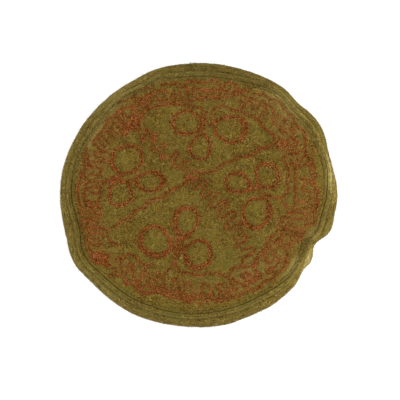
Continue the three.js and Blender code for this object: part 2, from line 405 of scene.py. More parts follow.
RING_SECOND_ROWS = {
    "top_left_second": [(-5, 82), (0, 81), (4, 77), (5, 72), (4, 66), (3, 60)],
    "top_right_second": [(36, 69.5), (39.5, 65.5), (41, 60), (39, 55)],
    "top_link": [(7, 66), (11, 67), (15, 69)],
    "right_low_second": [(62, -7), (62.7, -13), (62.5, -19), (60.5, -24)],
    "right_low_third": [(40, -24), (44, -28.5), (50, -31), (56, -30.5)],
    "right_link": [(45, 7), (50, 8), (54, 9.5)],
    "right_link_second": [(44, 3.5), (49, 5), (54, 7)],
    "bottom_left_second": [
        (-55.5, -34), (-57, -40), (-57, -46), (-54, -51), (-49, -54.5), (-44, -57), (-38, -57), (-32, -55),
        (-27, -50), (-25, -45), (-27, -39),
    ],
    "bottom_top_base": [(-17, -39), (-12, -39.5), (-8, -37)],
    "bottom_top_second": [
        (-13, -9.5), (-18, -11.5), (-22, -15), (-24, -20), (-25, -25), (-24, -30), (-22, -34), (-18, -38),
    ],
    "bottom_stem": [(-18, -37), (-17, -42), (-16, -47), (-18, -51), (-21, -55), (-23, -60), (-23, -65)],
    "bottom_stem_second": [(-22, -36), (-21, -41), (-20.5, -46), (-21.5, -51)],
    "bottom_stem_left": [(-27, -46), (-24, -50), (-23, -56)],
    "bottom_right_second": [(-15, -55), (-14, -60), (-12, -65), (-7, -68), (-1, -68), (5, -65.5), (9, -61)],
    "left_link": [(-81, 14), (-77, 16), (-73, 19)],
    "left_link_third": [(-84, 12), (-80, 13), (-76, 14.5), (-70, 14.5)],
    "left_link_second": [(-90, 11), (-86, 13), (-82, 16), (-78, 18)],
    "left_right_link": [(-67, 13), (-63, 15), (-59, 14)],
    "left_right_second": [(-38, 20), (-34, 17), (-33, 12), (-35, 8)],
    "left_top_second": [(-82, 38), (-83, 33), (-82, 27), (-78, 22)],
}
INNER_LINES = {
    "straight_low": [
        (-80, -30), (-75, -26), (-71, -23), (-65, -21), (-62, -16), (-57, -13), (-52, -12), (-49, -8),
        (-45, -4), (-40, -3), (-36, -2), (-31, 2), (-28, 4), (-22, 6), (-16, 9), (-13, 12),
    ],
    "straight_high": [
        (2, 20), (5, 21.5), (8, 22.5), (14, 23), (17, 26), (22, 29), (28, 31), (34, 34), (40, 36), (46, 37),
        (51, 39), (56, 43), (61, 44), (66, 47), (70, 48),
    ],
    "middle_loop": [
        (-15, 18), (-11, 16), (-9, 20), (-6, 22.5), (-2, 22), (0, 19), (-1, 16), (-4, 14.5), (-7, 13),
        (-10, 15), (-13, 12),
    ],
    "middle_bar": [(-13, 16), (-9, 16.5), (-5, 16.8), (-1, 16)],
    "frame_top_left": [
        (-58, 73), (-54, 76), (-50, 78), (-46, 80), (-41, 82), (-35, 84), (-27, 84), (-19, 84), (-11, 84),
        (-5, 82),
    ],
    "frame_top_right": [
        (29, 79), (33, 79), (38, 78), (42, 76), (46, 74), (52, 73), (55, 70), (57, 66), (60, 62), (64, 59),
        (67, 56), (69, 52),
    ],
    "frame_right": [
        (79, 42), (78, 36), (79, 31), (81, 27), (82, 22), (81, 16), (81, 11), (82, 6), (81, 2), (77, -1),
        (71, -3), (65, -1), (61, 2), (57, 3),
    ],
    "frame_right_second": [
        (86, 31), (87, 26), (88, 20), (88, 13), (89, 5), (88, -2), (88, -8), (86, -13), (82, -17),
    ],
    "frame_right_tail": [(76, -4), (78, -8), (81, -12)],
    "frame_low_right": [
        (80, -19), (75, -23), (72, -28), (71, -34), (67, -38), (63, -42), (61, -47), (58, -52), (55, -56),
        (53, -60), (50, -64), (45, -66), (38, -67), (31, -67), (28, -70),
    ],
    "frame_low_right_second": [
        (80, -26), (77, -31), (76, -35), (72, -40), (68, -44), (64, -48), (61, -53), (58, -57),
    ],
    "frame_curl": [(38, -51), (43, -50), (47, -48), (50, -51), (48, -55), (43, -56), (40, -60), (39, -65)],
    "frame_bottom": [
        (-22, -66), (-20, -69), (-17, -72), (-12, -72), (-6, -73), (0, -74), (5, -73), (10, -72), (16, -72),
        (20, -74), (24, -75), (27, -72),
    ],
    "frame_bottom_left": [(-31, -73), (-29, -69), (-26, -66), (-24, -62)],
    "frame_left_arch": [
        (-71, -60), (-70, -56), (-66, -54), (-61, -56), (-58, -60), (-55, -63), (-50, -64), (-45, -65),
    ],
    "frame_left_hook": [(-86, -41), (-82, -43), (-78, -45), (-75, -47)],
    "knot_upper_right": [
        (70, 48), (72, 51), (76, 51), (80, 49), (79, 45), (75, 43), (72, 45), (73, 48), (77, 48), (76, 46),
    ],
    "knot_upper_left": [
        (-73, 53), (-72, 57), (-69, 60), (-64, 61), (-60, 62), (-57, 66), (-58, 71), (-62, 71), (-65, 68),
        (-62, 65), (-66, 64), (-69, 67), (-73, 70), (-75, 74), (-74, 78),
    ],
    "knot_upper_left_third": [(-56, 75), (-61, 71), (-66, 69), (-70, 66), (-71, 62)],
    "knot_lower_left": [
        (-99, -57), (-95, -55), (-91, -53), (-87, -55), (-86, -59), (-90, -59), (-94, -58), (-98, -61),
        (-93, -63), (-88, -63), (-85, -66), (-80, -67), (-77, -70),
    ],
    "knot_lower_left_second": [(-98, -53), (-94, -56), (-90, -57), (-87, -62), (-82, -65)],
}
WINDING_LINES = {
    "winding_start": [
        (-57, 64), (-56, 59), (-55, 54), (-54, 49), (-52, 52), (-51, 58), (-50, 62), (-47, 60), (-47, 55),
        (-46, 50), (-44, 52), (-43, 57), (-41, 58), (-41, 53), (-42, 48), (-45, 45), (-44, 42), (-40, 41),
        (-38, 44), (-36, 47), (-32, 48), (-31, 45),
    ],
    "winding_spur": [(-33, 41), (-36, 38), (-36, 34), (-33, 33), (-32, 37)],
    "winding_high": [
        (-28, 33), (-26, 37), (-23, 40), (-20, 40), (-20, 36), (-23, 33), (-25, 29), (-23, 26), (-20, 25),
        (-18, 28), (-16, 32), (-13, 33), (-10.5, 31), (-11, 28), (-13.5, 25), (-15, 21),
    ],
    "winding_middle": [
        (-6, 12), (-7, 8.5), (-4, 7), (-0.5, 7.5), (0, 11), (3, 13.5), (7, 13.5), (7, 10), (4, 6.5), (2, 3),
        (3, -1), (6, -2), (9, 1), (11, 4.5),
    ],
    "winding_low": [
        (17, 3), (14, 0), (12, -3), (10, -6), (9, -9), (12, -11), (15, -11), (17.5, -8), (19.5, -5),
        (22.5, -4), (25, -6), (25, -9), (21.5, -11.5), (18, -14), (17.5, -18), (20, -20.5), (23.5, -19.5),
        (26, -16.5), (29, -14.5), (32, -15), (32.5, -18.5), (30.5, -21.5), (27, -23), (24, -26), (24, -30),
        (27.5, -32), (31, -30), (33.5, -27), (37, -24.5), (41, -23),
    ],
    "winding_link": [(39, -26), (38.5, -30), (36, -33), (34, -33)],
    "winding_loop": [
        (31, -37), (33, -40), (36.5, -42), (41, -43), (44, -40), (43.5, -36.5), (40.5, -36), (38.5, -38),
    ],
    "winding_end": [(38, -43), (37, -47), (33.5, -48)],
}
BORDER_LINES = {
    "scallop_top_left": [
        (-37, 103), (-30, 103), (-24, 104), (-20, 104), (-17, 101), (-13, 100), (-11, 97), (-11, 93),
    ],
    "scallop_top": [
        (-14, 102), (-12, 105), (-8, 106), (-3, 106), (1, 105), (6, 104), (10, 106), (15, 106), (18, 103),
        (21, 102), (25, 103), (30, 104), (33, 101), (36, 97), (38, 94), (43, 92), (48, 90), (53, 89),
    ],
    "scallop_top_right": [(32, 92), (35, 95), (37, 98), (41, 97), (46, 98)],
    "scallop_right_top": [(88, 67), (90, 63), (94, 61), (97, 58), (98, 52), (98, 46), (98, 41), (97, 37)],
    "scallop_left": [
        (-110, 24), (-110, 17), (-112, 11), (-113.5, 5), (-113, 0), (-112, -6), (-111, -12), (-110, -18),
    ],
    "base_top": [(-46, 94), (-40, 96), (-34, 97), (-30, 96)],
    "base_top_middle": [(-10, 98), (-4, 99), (3, 98), (10, 98), (17, 98), (23, 97), (29, 97)],
    "base_top_low": [(-20, 88), (-13, 88), (-4, 88), (2, 90), (6, 91), (12, 90), (20, 90)],
    "base_left": [
        (-104, 44), (-107, 40), (-107, 33), (-106, 26), (-107, 19), (-106, 12), (-107, 4), (-107, -3),
        (-106, -10),
    ],
    "base_left_inner": [(-93, 10), (-92, 4), (-93, -3), (-94, -9), (-92, -14), (-91, -19)],
    "base_low_left": [(-109, -20), (-109, -27), (-108, -33)],
    "base_low_left_second": [
        (-105, -19), (-105, -27), (-104, -35), (-104, -42), (-103, -48), (-100, -53), (-99, -57),
    ],
    "base_upper_left": [
        (-100, 49), (-97, 53), (-92, 58), (-89, 63), (-87, 68), (-83, 72), (-78, 74), (-75, 79), (-70, 81),
        (-65, 82), (-61, 85), (-57, 88), (-51, 92), (-46, 94),
    ],
    "base_bottom": [
        (-84, -73), (-78, -74), (-72, -74), (-69, -77), (-70, -82), (-64, -82), (-59, -82), (-56, -85),
        (-53, -89), (-47, -90), (-42, -88), (-36, -88), (-31, -89), (-28, -92), (-23, -92), (-18, -92),
        (-14, -95), (-9, -97), (-5, -97), (-2, -95), (3, -94), (8, -95), (13, -97), (18, -98), (23, -97),
        (28, -94), (33, -94), (37, -93), (41, -89), (46, -87), (51, -87), (56, -84), (59, -80), (64, -78),
        (69, -77), (71, -73), (75, -69), (79, -66), (81, -62), (79, -58), (82, -55), (80, -51), (82, -47),
        (87, -43), (91, -42), (95, -38), (96, -34),
    ],
    "base_bottom_second": [(-2, -99), (3, -100), (7, -97)],
    "base_bottom_high": [
        (-66, -79), (-60, -79.5), (-56, -82), (-51, -84.5), (-46, -84), (-41, -85.5), (-37, -85),
        (-32, -86.5), (-28, -89), (-22, -89.5), (-17, -90), (-12, -92), (-7, -94), (-3, -92.5), (2, -92),
        (6, -93), (10, -92.5), (14, -94.5), (19, -95),
    ],
    "base_bottom_low": [
        (-62, -84.5), (-58, -86), (-54, -90.5), (-49, -91.5), (-43, -90.5), (-38, -90.5), (-32, -92.5),
        (-29, -94.5), (-24, -95), (-18, -95.5), (-13, -97.5), (-8, -99),
    ],
    "base_right": [
        (98, 41), (100, 35), (101, 30), (103, 24), (105, 19), (106, 14), (105, 10), (108, 6), (109, 2),
        (108, -3), (109, -8), (107, -13), (105, -18),
    ],
    "bottom_right_band": [(17, -92), (22, -91.5), (27, -89.5), (31, -87.5), (36, -86.5)],
    "low_right_band": [(39, -84), (43, -82.5), (47, -80), (51, -78), (55, -75), (58, -73)],
    "low_right_stroke": [(38, -73), (41, -76), (44, -80)],
    "low_right_second": [(43, -71), (47, -74), (50, -77)],
    "low_right_leg": [(52, -58), (51, -62), (50, -66), (52, -70)],
    "low_right_patch": [(60, -70), (64, -69), (68, -67)],
    "base_left_second": [(-104, 38), (-103.5, 34), (-104, 30), (-103, 26)],
    "base_top_low_left": [(-38, 87), (-33, 87.5), (-28, 86.5), (-22, 87)],
}
FAINT_LINES = {
    "scallop_upper_left": [(-77, 84), (-73, 88), (-67, 89), (-62, 91), (-60, 95)],
    "scallop_upper_left_link": [(-42, 101), (-48, 100), (-54, 98)],
    "scallop_upper_right": [
        (48, 93), (53, 94), (58, 94), (62, 91), (66, 89), (70, 88), (74, 86), (77, 83), (78, 79), (82, 76),
        (86, 72), (88, 67),
    ],
    "scallop_right_high": [(103, 47), (105, 41), (104, 35), (106, 29), (105, 24)],
    "frame_top_right_arch": [(11, 71), (12, 76), (12, 80), (16, 82), (22, 83), (26, 82), (29, 79)],
}
HAIRPINS = {
    "left_a": [
        (-84, 40), (-90, 41), (-96, 40), (-98, 37), (-93, 36), (-88, 34), (-87, 31), (-93, 31), (-99, 31),
    ],
    "left_b": [(-104, 29), (-99, 26), (-94, 26), (-91, 23), (-93, 19), (-98, 19), (-102, 20)],
    "left_c": [(-104, 16), (-102, 12), (-97, 13), (-92, 12), (-88, 13)],
    "left_d": [(-94, 8), (-99, 8), (-103, 6), (-103, 3), (-98, 2), (-94, 3)],
    "left_e": [(-107, -5), (-103, -5), (-104, -9), (-99, -11), (-95, -10)],
    "left_g": [
        (-102, -22), (-100, -28), (-100, -33), (-95, -31), (-90, -30), (-86, -32), (-87, -37), (-91, -36),
    ],
    "left_h": [(-101, -43), (-97, -46), (-93, -45), (-90, -47)],
    "upper_left_e": [(-74, 80), (-71, 76), (-68, 72), (-63, 73), (-61, 77), (-64, 80)],
    "upper_left_f": [(-63, 84), (-60, 80), (-56, 79), (-55, 84), (-56, 87)],
    "upper_left_g": [(-52, 88), (-53, 84), (-49, 82), (-48, 86), (-50, 91)],
    "upper_right_a": [(38, 89), (38, 84), (40, 81), (42, 86), (46, 88), (49, 84), (48, 79)],
    "upper_right_b": [(53, 81), (55, 85), (58, 87), (60, 85), (61, 81), (59, 76), (58, 73)],
    "upper_right_c": [(62, 85), (66, 83), (68, 79), (69, 73), (68, 68), (71, 66), (69, 64)],
    "upper_right_d": [
        (73, 76), (75, 72), (78, 71), (79, 68), (76, 65), (74, 62), (76, 58), (80, 58), (81, 62),
    ],
    "upper_right_e": [(87, 69), (85, 65), (84, 62), (87, 60), (86, 56), (83, 54)],
    "right_a": [
        (83, 54), (86, 51), (89, 52), (91, 49), (88, 46), (85, 44), (84, 40), (87, 38), (91, 40), (95, 42),
    ],
    "right_b": [(103, 27), (100, 29), (96, 29), (93, 26), (90, 28), (91, 32), (95, 34), (98, 37)],
    "right_c": [(84, 34), (83, 31), (86, 29)],
    "right_d": [(106, 21), (105, 16), (102, 12), (97, 10), (94, 7), (96, 4), (101, 4), (105, 3), (109, 6)],
    "right_e": [(92, 17), (96, 14), (100, 15)],
    "right_f": [(102, 0), (102, -6), (105, -10), (109, -8), (109, -2)],
    "right_g": [(102, -12), (105, -15), (105, -20), (105, -25), (101, -28)],
    "right_h": [(91, -3), (92, -6), (97, -5)],
    "right_i": [(81, -18), (86, -15), (92, -16), (97, -16), (100, -19), (98, -24), (98, -29)],
    "right_j": [(89, -12), (94, -12), (99, -11)],
    "right_k": [(81, -22), (86, -21), (91, -22), (96, -22)],
    "right_l": [(81, -25), (85, -28), (90, -30), (95, -31), (97, -32)],
    "right_m": [(77, -31), (82, -32), (87, -34), (90, -36), (90, -32)],
    "right_o": [(88, -37), (92, -39), (93, -35), (96, -36)],
    "right_n": [(75, -41), (79, -37), (84, -38), (88, -37)],
    "low_right_a": [(83, -40), (86, -43), (82, -46), (77, -44), (72, -43)],
    "low_right_b": [(79, -48), (74, -47), (69, -50), (67, -52), (68, -55), (72, -57), (75, -58)],
    "low_right_c": [(81, -60), (75, -62), (71, -63), (71, -66)],
    "low_right_d": [(64, -57), (61, -58), (60, -61), (63, -63), (66, -62), (69, -59)],
    "low_right_e": [(70, -67), (66, -67), (62, -70), (62, -72), (66, -72), (68, -69)],
    "low_right_f": [(57, -77), (55, -73), (52, -71), (50, -68), (52, -64)],
    "low_right_g": [
        (56, -76), (51, -79), (47, -76), (43, -72), (39, -73), (41, -77), (45, -80), (46, -83), (42, -84),
    ],
    "bottom_right_a": [
        (39, -84), (38, -81), (33, -80), (30, -76), (28, -79), (29, -83), (32, -86), (30, -89),
    ],
    "bottom_right_b": [(24, -90), (24, -85), (20, -82), (15, -82), (16, -86), (20, -89)],
    "bottom_a": [(11, -93), (10, -88), (7, -83), (3, -82), (1, -86), (2, -91)],
    "bottom_b": [(-5, -92), (-7, -87), (-9, -82), (-12, -80), (-15, -83), (-13, -88)],
    "bottom_c": [(-19, -88), (-19, -82), (-21, -77), (-24, -77), (-26, -81), (-26, -86)],
    "bottom_d": [(-33, -86), (-33, -80), (-36, -74), (-39, -72), (-41, -78), (-41, -84)],
    "bottom_e": [(-47, -85), (-47, -78), (-49, -72), (-53, -70), (-55, -75), (-55, -81)],
    "bottom_f": [(-61, -79), (-61, -72), (-62, -65), (-65, -63), (-67, -66), (-67, -72)],
    "bottom_g": [(-73, -72), (-73, -65), (-74, -58), (-77, -58), (-77, -64)],
}
# Areas filled with short strokes: how far the strokes reach, their spacing and the fill's middle line
FILLS = table(
    "name reach spacing middle",
    ("top", 3.6, 5.8, [(-24, 93.5), (-10, 94), (5, 94), (18, 94), (30, 93)]),
    ("top_left", 3.6, 7.0, [(-52, 86), (-44, 89.5), (-36, 91.5), (-26, 92)]),
    ("upper_left", 5.5, 5.4, [(-95, 44), (-90, 50), (-84, 56), (-79, 63), (-74, 69)]),
    ("left", 6.0, 4.0, [(-100, -6), (-100, -15), (-99, -24)]),
    ("left_low", 5.0, 5.6, [(-97, -29), (-97, -35), (-97, -41)]),
    ("lower_left_knot", 5.0, 3.2, [(-100, -57), (-93, -57), (-86, -60)]),
    ("upper_left_knot", 3.8, 3.4, [(-72, 57), (-67, 63), (-61, 67), (-55, 73)]),
    ("right_high", 4.5, 4.4, [(82, 52), (85, 45), (86, 38)]),
)

# Derived sizes
MM = 0.001
RIM_RADIUS = (HAT_WIDTH + HAT_DEPTH) / 4
HEAD_RADIUS = HEAD_ROUND / (2 * math.pi)
SEAM_RADIUS = SEAM_DIAMETER / 2
TURN_PITCH = CLOTH + ROLL_GAP
ROLL_HALF_WIDTH = (RIM_RADIUS - HEAD_RADIUS - TURN_PITCH / 2) / 2
ROLL_HALF_HEIGHT = ROLL_HEIGHT / 2
ROLL_RADIUS = RIM_RADIUS - ROLL_HALF_WIDTH
ROLL_MIDDLE = ROLL_HALF_HEIGHT + TURN_PITCH / 4 - REST_FLAT
SOFT_RADIUS = SEAM_RADIUS / 2
CROWN_EDGE = SEAM_RADIUS - SEAM_GAP / 2
random_steps = np.random.default_rng(RANDOM_SEED)


# Shape of the cloth


def smoothstep(value, low, high):
    """0 below low, 1 above high and a smooth rise between them."""
    share = np.clip((value - low) / (high - low), 0, 1)
    return share * share * (3 - 2 * share)


def bell(apart, spread):
    """1 in the middle, fading smoothly to both sides."""
    return np.exp(-((apart / spread) ** 2))


def unit(vectors):
    """The same directions at length 1."""
    return vectors / np.maximum(np.linalg.norm(vectors, axis=-1, keepdims=True), TINY)


def turned(ahead, aside, angle):
    """The x and y of steps ahead and aside that follow a heading."""
    return ahead * np.cos(angle) - aside * np.sin(angle), ahead * np.sin(angle) + aside * np.cos(angle)


def round_axis(radius, angle, height):
    """Points from their radii, angles and heights round the cap's axis."""
    return np.stack(np.broadcast_arrays(radius * np.cos(angle), radius * np.sin(angle), height), axis=-1)


def bearing_and_radius(points):
    """Bearings in degrees, and distances from the cap's axis."""
    x, y = points[:, 0], points[:, 1]
    return np.degrees(np.arctan2(y, x)), np.hypot(x, y)


def noise_at(points):
    """Smooth noise between about -1 and 1."""
    return np.array([noise.noise(Vector(point)) for point in points])


def wall_points(turn, depth):
    """Radii and heights on the rolled cloth. Turn 0 is its outside, 90 its top and 180 its head side."""
    turn = np.asarray(turn, float)
    inset = TURN_PITCH * (turn - 360) / 360 + depth
    lowest = TURN_PITCH * np.floor((turn - 90) / 360) + depth
    radius = ROLL_RADIUS + (ROLL_HALF_WIDTH - inset) * np.cos(np.radians(turn))
    height = ROLL_MIDDLE + (ROLL_HALF_HEIGHT - inset) * np.sin(np.radians(turn))
    return np.column_stack([radius, np.where(turn > 180, np.maximum(height, lowest), height)])


def turn_at_radius(radius):
    """The turn at which the roll's upper face has a radius, closed in on round by round."""
    turn = 90.0
    for _ in range(TURN_ROUNDS):
        reach = ROLL_HALF_WIDTH - TURN_PITCH * (turn - 360) / 360
        turn = math.degrees(math.acos((radius - ROLL_RADIUS) / reach))
    return turn


SEAM_TURN = turn_at_radius(SEAM_RADIUS + SEAM_GAP / 2)
RIB_TURN = turn_at_radius(SEAM_RADIUS + SEAM_GAP / 2 + RIB_WIDTH)
SEAM_HEIGHT = float(wall_points([SEAM_TURN], 0)[0, 1])


def fold_share(bearing, row):
    """How far a row that has a bearing and a spread counts at other bearings."""
    return bell((bearing - row["bearing"] + 180) % 360 - 180, row["spread"])


def fold_sum(bearing, column):
    """One column of the folds, added up at each bearing."""
    return sum(fold[column] * fold_share(bearing, fold) for fold in FOLDS)


def spot_share(points, row):
    """How far a row that has an x, a y and a spread counts at other places."""
    return bell(np.hypot(points[:, 0] - row["x"], points[:, 1] - row["y"]), row["spread"])


def dent_share(points):
    """How far points lie in the notch's dent."""
    return smoothstep(points[:, 2], DENT["gone_below"], DENT["full_above"]) * spot_share(points, DENT)


def creased(points):
    """The regular round cap's points, moved to where the creases of the soft one put them."""
    x, y, z = points.T
    bearing, radius = bearing_and_radius(points)
    soft = smoothstep(radius, SOFT_RADIUS, SEAM_RADIUS)
    high = smoothstep(z, ROLL_MIDDLE, SEAM_HEIGHT)
    at_seam = fold_sum(bearing, "seam") + SEAM_OVAL * np.cos(2 * np.radians(bearing))
    low = 1 - smoothstep(z, LEDGE["full_below"], LEDGE["gone_above"])
    at_belly = fold_sum(bearing, "belly") + LEDGE["reach"] * fold_share(bearing, LEDGE) * low
    upper = smoothstep(z, PRESS["gone_below"], PRESS["full_above"])
    pressed = PRESS["push"] * fold_share(bearing, PRESS) * upper
    push = ((1 - high) * at_belly + high * at_seam + pressed) * soft
    sink = fold_sum(bearing, "sink") * soft * z / SEAM_HEIGHT
    stretch = (radius + push) / np.maximum(radius, TINY)
    wide = HAT_WIDTH / (2 * RIM_RADIUS)
    deep = HAT_DEPTH / (2 * RIM_RADIUS)
    moved = np.column_stack([x * stretch * wide, y * stretch * deep, z - sink])
    moved[:, 2] -= DENT["depth"] * dent_share(moved)
    return moved


def puff_at(points):
    """Rise of the cloth that the stitches gather up inside each ring."""
    total = np.zeros(len(points))
    for charted in CLOSED_RINGS.values():
        middle = np.mean(charted, axis=0)
        reach = np.hypot(*(charted - middle).T).mean()
        apart = np.hypot(*(points[:, :2] - middle).T)
        total += RING_PUFF * (1 - smoothstep(apart, PUFF_FLAT * reach, reach))
    return total


def crown_under(radius):
    """Height of the crown's underside."""
    return SEAM_HEIGHT + SEAM_GAP + DOME_RISE * (1 - (radius / CROWN_EDGE) ** DOME_POWER)


def crown_placed(points):
    """Points of the regular crown, creased with the cap and swollen."""
    moved = creased(points)
    flat = 1 - smoothstep(np.hypot(points[:, 0], points[:, 1]), SOFT_RADIUS, CROWN_EDGE)
    moved[:, 2] += flat * sum(swell["rise"] * spot_share(points, swell) for swell in SWELLS)
    return moved


def spun(section, segments):
    """Section points (radius, height) set round the axis, a row of points for each section point."""
    angles = np.radians(np.linspace(0, 360, segments, endpoint=False))
    return round_axis(section[:, :1], angles, section[:, 1:])


def wool_rise(points, long_wave, long_rise, short_wave, short_rise):
    """Soft unevenness of hand-felted wool, from two sizes of smooth noise."""
    return long_rise * noise_at(points / long_wave) + short_rise * noise_at(points / short_wave)


# Stitch lines


def smooth_line(points, closed=False):
    """A smooth curve through charted points."""
    charted = np.array(points, float)
    if closed:
        padded = np.vstack([charted[-1:], charted, charted[:2]])
    else:
        padded = np.vstack([2 * charted[:1] - charted[1:2], charted, 2 * charted[-1:] - charted[-2:-1]])
    share = np.linspace(0, 1, LINE_STEPS, endpoint=False)[:, None]
    spans = []
    for before, start, end, after in zip(padded[:-3], padded[1:-2], padded[2:-1], padded[3:]):
        cubic = 3 * (start - end) + after - before
        square = 2 * before - 5 * start + 4 * end - after
        spans.append(start + 0.5 * share * (end - before + share * (square + share * cubic)))
    spans.append(padded[-2:-1])
    return np.vstack(spans)


def distances_along(line):
    """How far along a line each of its points lies."""
    return np.concatenate([[0], np.cumsum(np.hypot(*np.diff(line, axis=0).T))])


def stepped(line, pitch):
    """Points a whole number of even steps apart along a curve."""
    distances = distances_along(line)
    count = max(1, round(distances[-1] / pitch))
    even = np.linspace(0, distances[-1], count + 1)
    return np.column_stack([np.interp(even, distances, line[:, 0]), np.interp(even, distances, line[:, 1])])


def left_of(directions):
    """Directions turned a quarter to the left."""
    return np.column_stack([-directions[:, 1], directions[:, 0]])


def fill_strokes(fill):
    """The strokes that fill an area, worked to and fro across its middle line."""
    middle = stepped(smooth_line(fill["middle"]), fill["spacing"])
    aside = left_of(unit(np.gradient(middle, axis=0)))
    strokes = {}
    for index, (place, out) in enumerate(zip(middle, aside)):
        way = 1 if index % 2 else -1
        shares = np.array([[-1.0], [0.0], [1.0]]) * way * fill["reach"]
        stroke = place + shares * out + random_steps.normal(0, FILL_SHIFT, (3, 2))
        strokes[f"{fill['name']}_{index}"] = stroke
    return strokes


def stitch_ends(kind, lines, closed=False):
    """Start and end of every stitch on a group of charted lines."""
    steps = [stepped(smooth_line(points, closed), STITCH_SIZES[kind]["pitch"]) for points in lines.values()]
    starts = np.vstack([line[:-1] for line in steps])
    ends = np.vstack([line[1:] for line in steps])
    return {"kind": kind, "starts": starts, "ends": ends}


FILL_LINES = {}
for fill_row in FILLS:
    FILL_LINES.update(fill_strokes(fill_row))

EMBROIDERY = {
    "ring_stitches": stitch_ends("ring", CLOSED_RINGS, closed=True),
    "ring_row_stitches": stitch_ends("line", RING_SECOND_ROWS),
    "inner_stitches": stitch_ends("line", INNER_LINES),
    "winding_stitches": stitch_ends("thin", WINDING_LINES),
    "border_stitches": stitch_ends("line", BORDER_LINES),
    "faint_stitches": stitch_ends("fine", FAINT_LINES),
    "hairpin_stitches": stitch_ends("fill", HAIRPINS),
    "fill_stitches": stitch_ends("fill", FILL_LINES),
}


def stitch_distance(points, kinds=tuple(STITCH_SIZES)):
    """Distance in plan from each point to the nearest stitch of some kinds."""
    groups = [group for group in EMBROIDERY.values() if group["kind"] in kinds]
    middles = np.vstack([(group["starts"] + group["ends"]) / 2 for group in groups])
    tree = KDTree(len(middles))
    for index, (x, y) in enumerate(middles):
        tree.insert((x, y, 0), index)
    tree.balance()
    return np.array([tree.find((x, y, 0))[2] for x, y in points[:, :2]])


# Finishes


class Wire:
    """A value in a finish's node tree. Arithmetic on it adds Math nodes."""

    def __init__(self, finish, socket):
        self.finish = finish
        self.socket = socket

    def math(self, operation, first, second):
        return self.finish.node("ShaderNodeMath", {"operation": operation}, {0: first, 1: second})

    def __add__(self, other):
        return self.math("ADD", self, other)

    def __radd__(self, other):
        return self.math("ADD", other, self)

    def __sub__(self, other):
        return self.math("SUBTRACT", self, other)

    def __rsub__(self, other):
        return self.math("SUBTRACT", other, self)

    def __mul__(self, other):
        return self.math("MULTIPLY", self, other)

    def __rmul__(self, other):
        return self.math("MULTIPLY", other, self)


class Finish:
    """A material under construction."""

    def __init__(self, name):
        self.material = bpy.data.materials.new(name)
        self.material.use_nodes = True
        self.tree = self.material.node_tree
        self.tree.nodes.clear()

    def node(self, kind, settings=None, inputs=None, out=0):
        """Adds a node: its settings first, then the values or links of its sockets."""
        made = self.tree.nodes.new(kind)
        for name, value in (settings or {}).items():
            setattr(made, name, value)
        for key, value in (inputs or {}).items():
            if isinstance(value, Wire):
                self.tree.links.new(value.socket, made.inputs[key])
            else:
                made.inputs[key].default_value = value
        return Wire(self, made.outputs[out]) if made.outputs else None

    def vector(self, operation, inputs):
        return self.node("ShaderNodeVectorMath", {"operation": operation}, inputs)

    def place(self):
        """The object's own coordinates, in millimetres."""
        return self.vector("SCALE", {0: self.node("ShaderNodeTexCoord", out="Object"), "Scale": 1 / MM})

    def tone(self, name):
        """A tone that the piece gives point by point. It is 0 where the piece gives none."""
        return self.node("ShaderNodeAttribute", {"attribute_name": name}, out="Fac")

    def clouds(self, vector, size, detail=2.0, roughness=0.5, out=0):
        """Smooth noise from 0 to 1 with lumps about size millimetres across."""
        inputs = {"Vector": vector, "Scale": 1 / size, "Detail": detail, "Roughness": roughness}
        return self.node("ShaderNodeTexNoise", None, inputs, out)

    def blend(self, factor, first, second):
        """A mix of two colours, which are sockets 6 and 7 of the node. Its output 2 is the mixed colour."""
        inputs = {0: factor, 6: first, 7: second}
        return self.node("ShaderNodeMix", {"data_type": "RGBA", "clamp_factor": True}, inputs, out=2)

    def three_tones(self, tone, deep, body, pale):
        """A colour that runs from deep through body to pale."""
        low = self.blend(tone + 0.5, deep, body)
        return self.blend(tone - 0.5, low, pale)

    def bump(self, height, distance, strength):
        """A surface raised by up to distance millimetres."""
        inputs = {"Height": height, "Distance": distance * MM, "Strength": strength}
        return self.node("ShaderNodeBump", None, inputs)

    def done(self, **sockets):
        """Ends the finish in one cloth shader."""
        inputs = {key.replace("_", " "): value for key, value in sockets.items()}
        shader = self.node("ShaderNodeBsdfPrincipled", None, inputs)
        self.node("ShaderNodeOutputMaterial", None, {"Surface": shader})
        return self.material


def stronger(value, gain):
    """Stretches a 0 to 1 noise about its middle."""
    return (value - 0.5) * gain + 0.5


